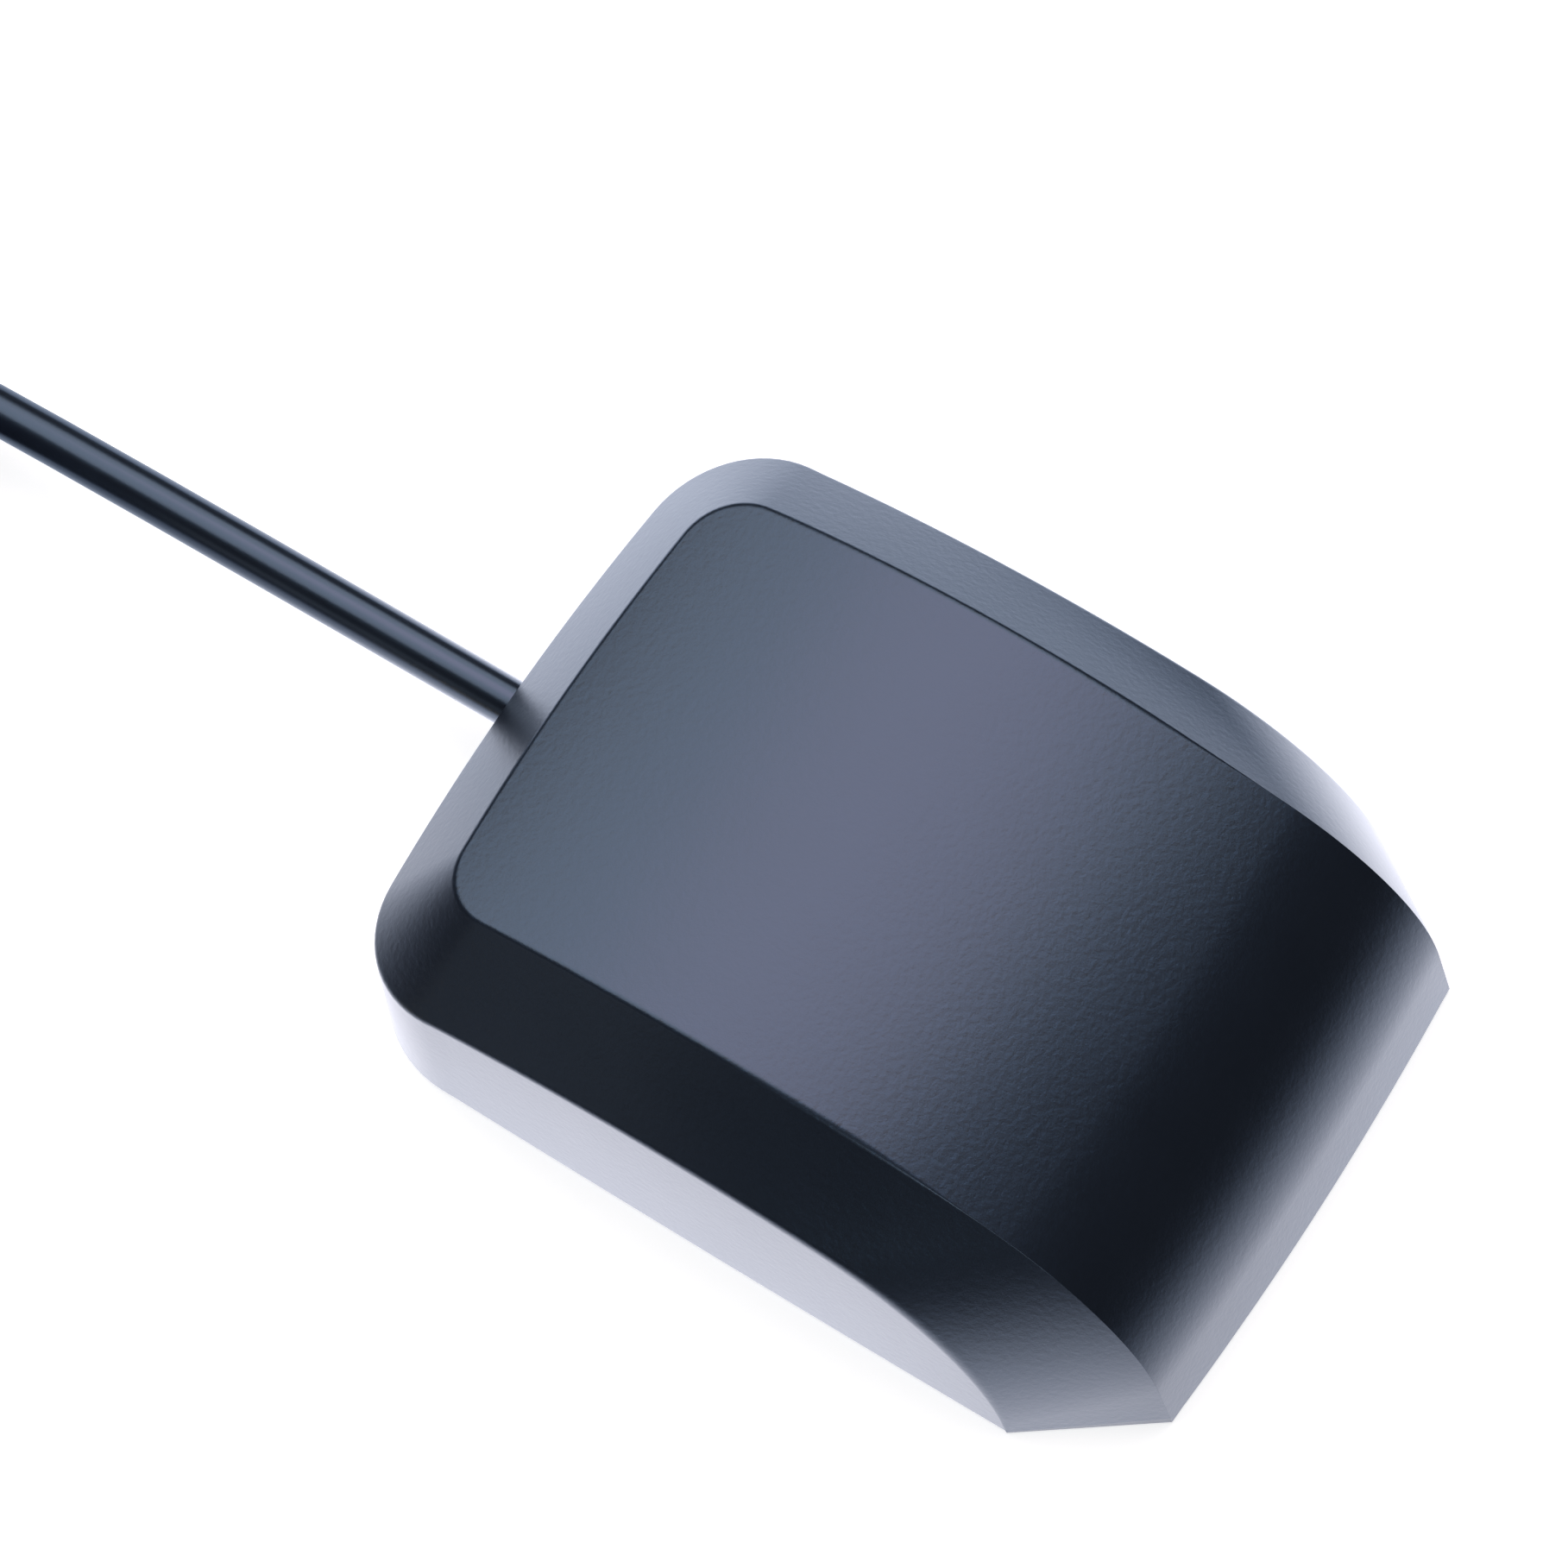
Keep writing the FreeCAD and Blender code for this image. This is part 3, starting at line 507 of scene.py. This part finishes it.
tail_y = -2 * outer_radius
route = [
    Vector((-17.4, 0, 5.6)),            # in the clamp
    Vector((-35.0, 0, 5.6)),            # level behind the rear wall
    Vector((-63.0, 0, 4.75)),           # on its way down to the coil
]
route += coil_points()
route += [
    Vector((coil_middle.x, tail_y, 4.15)),
    Vector((-61.5, tail_y, 3.0)),
    Vector((-43.5, tail_y, 3.0)),       # in the plug's ferrule
]


def cable_curve(name, points, diameter):
    """A smooth tube along the route's corner points."""
    curve = bpy.data.curves.new(name, "CURVE")
    curve.dimensions = "3D"
    spline = curve.splines.new("NURBS")
    spline.points.add(len(points) - 1)
    for slot, p in zip(spline.points, points):
        slot.co = (p.x * 0.001, p.y * 0.001, p.z * 0.001, 1)
    spline.order_u = 3
    spline.use_endpoint_u = True
    spline.resolution_u = 4
    curve.bevel_depth = diameter / 2
    curve.bevel_resolution = 8
    curve.use_fill_caps = True
    made = bpy.data.objects.new(name, curve)
    bpy.context.scene.collection.objects.link(made)
    return made


def jacket_plastic():
    """Extruded jacket: smoother than the housing, with faint waviness along its length."""
    material, start, shader = new_material("jacket_plastic")
    wave, fine = start.noise(260), start.noise(4200)
    tone = start.blend(wave, (0.005, 0.006, 0.01, 1), (0.009, 0.011, 0.017, 1))
    tone.feed(shader, "Base Color")
    (0.24 + wave * 0.06 + fine * 0.05).feed(shader, "Roughness")
    fine.bump(0.000004).feed(shader, "Normal")
    resin_skin(material, 0.24)
    return material


cable = cable_curve("antenna_cable", route, 0.0027)
cable.data.materials.append(jacket_plastic())
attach(cable, "root")
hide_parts("cable", "cable_coil", "cable_tail")

# Cable seat
# A rubber grommet in the rear wall, and inside it a nylon saddle whose steel strap grips the
# jacket. Past the saddle the cable is stripped in steps: tinned braid, white insulation, core.

grommet_rubber = rubber("grommet_rubber", (0.01, 0.01, 0.011, 1), (0.018, 0.018, 0.02, 1),
                        3000, 0.00001, 0.55)
white_nylon = moulded_plastic("white_nylon", (0.66, 0.65, 0.6, 1), (0.76, 0.75, 0.7, 1),
                              2600, 0.000005, 0.45)
strap_steel = plated_metal("strap_steel", (0.55, 0.55, 0.56, 1), (0.66, 0.66, 0.67, 1), 0.33)
braid = plated_metal("tinned_braid", (0.6, 0.6, 0.6, 1), (0.76, 0.76, 0.76, 1), 0.4, 0.00005)
copper = plated_metal("bare_copper", (0.62, 0.3, 0.18, 1), (0.75, 0.4, 0.25, 1), 0.3)
dress(grommet_rubber, "cable_grommet")
dress(white_nylon, "cable_saddle", "cable_insulation_end")
dress(strap_steel, "cable_strap")
dress(zinc, "strap_screws")
dress(braid, "cable_braid_end")
dress(copper, "cable_core_end")

# Plug
# A turned push-on plug of gold-plated brass with a white insulator and a centre pin. A nickel
# ferrule is crimped over the jacket, and a tapered rubber boot covers the end behind it.

gold = plated_metal("gold_plating", (0.83, 0.6, 0.25, 1), (0.92, 0.7, 0.33, 1), 0.22)
boot_rubber = rubber("boot_rubber", (0.012, 0.012, 0.013, 1), (0.02, 0.02, 0.022, 1),
                     2800, 0.00001, 0.55)
dress(gold, "plug_body", "plug_pin")
dress(white_nylon, "plug_insulator")
dress(nickel, "crimp_ferrule")
dress(boot_rubber, "plug_boot")

# Floor
# A wide white sheet that shows white and keeps the soft shadow. In the housing's gloss it has
# painted light: a painted glow near the antenna, painted darkness farther off, and a painted
# bluish glow behind.


def white_sheet():
    """The sheet's material, which glows with painted light in reflections. A pool is 1 in its middle
    and fades to nothing outside its radius.
    """
    material = bpy.data.materials.new("white_sheet")
    material.use_nodes = True
    tree = material.node_tree
    tree.nodes.clear()
    start = Signal(tree)
    rays = start.node("ShaderNodeLightPath").socket.node
    seen = Signal(tree, rays.outputs["Is Camera Ray"])
    mirrored = Signal(tree, rays.outputs["Is Glossy Ray"])
    through = Signal(tree, rays.outputs["Is Transmission Ray"])
    place = start.node("ShaderNodeTexCoord", output="Object")
    place_x = start.node("ShaderNodeSeparateXYZ", None, {0: place}, "X")
    place_y = start.node("ShaderNodeSeparateXYZ", None, {0: place}, "Y")

    def pool(x, y, radius):
        along, across = (place_x - x) / radius, (place_y - y) / radius
        return 1 / (1 + start.math("POWER", along, 4.0) + start.math("POWER", across, 4.0))
    # Painted light: the sheet glows in these pools only in reflections, a white one near the antenna
    # and a bluish one behind.
    painted_glow_near, painted_bluish_glow_behind = pool(-0.002, 0, 0.03), pool(-0.04, 0.055, 0.07)
    white_and_painted_glow = start.node("ShaderNodeEmission", None, {
        "Color": start.blend(mirrored, (1, 1, 1, 1), (1, 0.945, 1, 1)),
        "Strength": seen * 0.6 + mirrored * painted_glow_near * 1.35 + through})
    # Painted light: a bluish glow on the sheet behind the antenna, seen only in reflections, in
    # place of window light.
    painted_bluish_glow = start.node("ShaderNodeEmission", None, {
        "Color": (0.6, 0.75, 1, 1), "Strength": mirrored * painted_bluish_glow_behind * 0.82})
    # Painted shade: in reflections the sheet's white fades to black outside the near pool.
    paper_painted_dark_far = start.blend(1 - mirrored * (1 - painted_glow_near), (0, 0, 0, 1), (0.9, 0.9, 0.9, 1))
    matt = start.node("ShaderNodeBsdfDiffuse", None, {"Color": paper_painted_dark_far})
    glowing = start.node("ShaderNodeAddShader", None, {0: white_and_painted_glow, 1: painted_bluish_glow})
    surface = start.node("ShaderNodeAddShader", None, {0: glowing, 1: matt})
    start.node("ShaderNodeOutputMaterial", None, {"Surface": surface})
    return material


reach, below = 3, -0.00001
floor_mesh = bpy.data.meshes.new("floor_sheet")
floor_mesh.from_pydata([(-reach, -reach, below), (reach, -reach, below),
                        (reach, reach, below), (-reach, reach, below)], [], [(0, 1, 2, 3)])
floor_mesh.materials.append(white_sheet())
floor_sheet = bpy.data.objects.new("floor_sheet", floor_mesh)
bpy.context.scene.collection.objects.link(floor_sheet)

# Light
# One wide soft lamp overhead towards the rear, seen in the panel as its broad grey sheen, with a
# pinker middle. A faint lamp stands low on the left, a weak one is up in front, and there is
# faint light all round.


def soft_lamp(name, place, size_x, size_y, watts, colour):
    """A flat lamp that faces the antenna."""
    lamp = bpy.data.lights.new(name, "AREA")
    lamp.shape = "RECTANGLE"
    lamp.size, lamp.size_y, lamp.energy, lamp.color = size_x, size_y, watts, colour
    made = bpy.data.objects.new(name, lamp)
    made.location = place
    made.rotation_mode = "QUATERNION"
    made.rotation_quaternion = (-Vector(place)).to_track_quat("-Z", "Y")
    bpy.context.scene.collection.objects.link(made)


soft_lamp("overhead_lamp", (-0.22, 0.165, 0.5), 0.8, 0.6, 2.4, (0.97, 0.97, 1.0))
soft_lamp("middle_lamp", (-0.12, 0.15, 0.48), 0.26, 0.3, 0.22, (1.0, 0.5, 0.65))
soft_lamp("side_lamp", (-0.29, -0.5, 0.155), 0.3, 0.2, 0.04, (0.95, 0.97, 1.0))
soft_lamp("front_lamp", (0.35, -0.55, 0.5), 0.5, 0.35, 1.2, (1.0, 1.0, 1.0))

world = bpy.data.worlds.new("studio")
bpy.context.scene.world = world
world.use_nodes = True
sky = Signal(world.node_tree)
world.node_tree.nodes.clear()
rays = sky.node("ShaderNodeLightPath").socket.node
seen = Signal(world.node_tree, rays.outputs["Is Camera Ray"])
mirrored = Signal(world.node_tree, rays.outputs["Is Glossy Ray"])
strength = 0.25 + seen * 0.75 - mirrored * 0.22
air = sky.node("ShaderNodeBackground", None, {"Color": (1, 1, 1, 1), "Strength": strength})
sky.node("ShaderNodeOutputWorld", None, {"Surface": air})

# Camera
# It looks down on the nose from in front, a little to one side.

lens = bpy.data.cameras.new("camera")
lens.lens, lens.sensor_width = 138.69, 36.0
lens.clip_start, lens.clip_end = 0.01, 10.0
camera = bpy.data.objects.new("camera", lens)
bpy.context.scene.collection.objects.link(camera)
right = Vector((0.8353672, 0.5442066, -0.077465))
down = Vector((0.4833701, -0.7943521, -0.3679103))
ahead = Vector((-0.2617538, 0.2698959, -0.9266289))
turn = Matrix((right, -down, -ahead)).transposed().to_4x4()
camera.matrix_world = Matrix.Translation((0.0735337, -0.0826986, 0.3023693)) @ turn
bpy.context.scene.camera = camera
bpy.context.scene.view_settings.view_transform = "Standard"
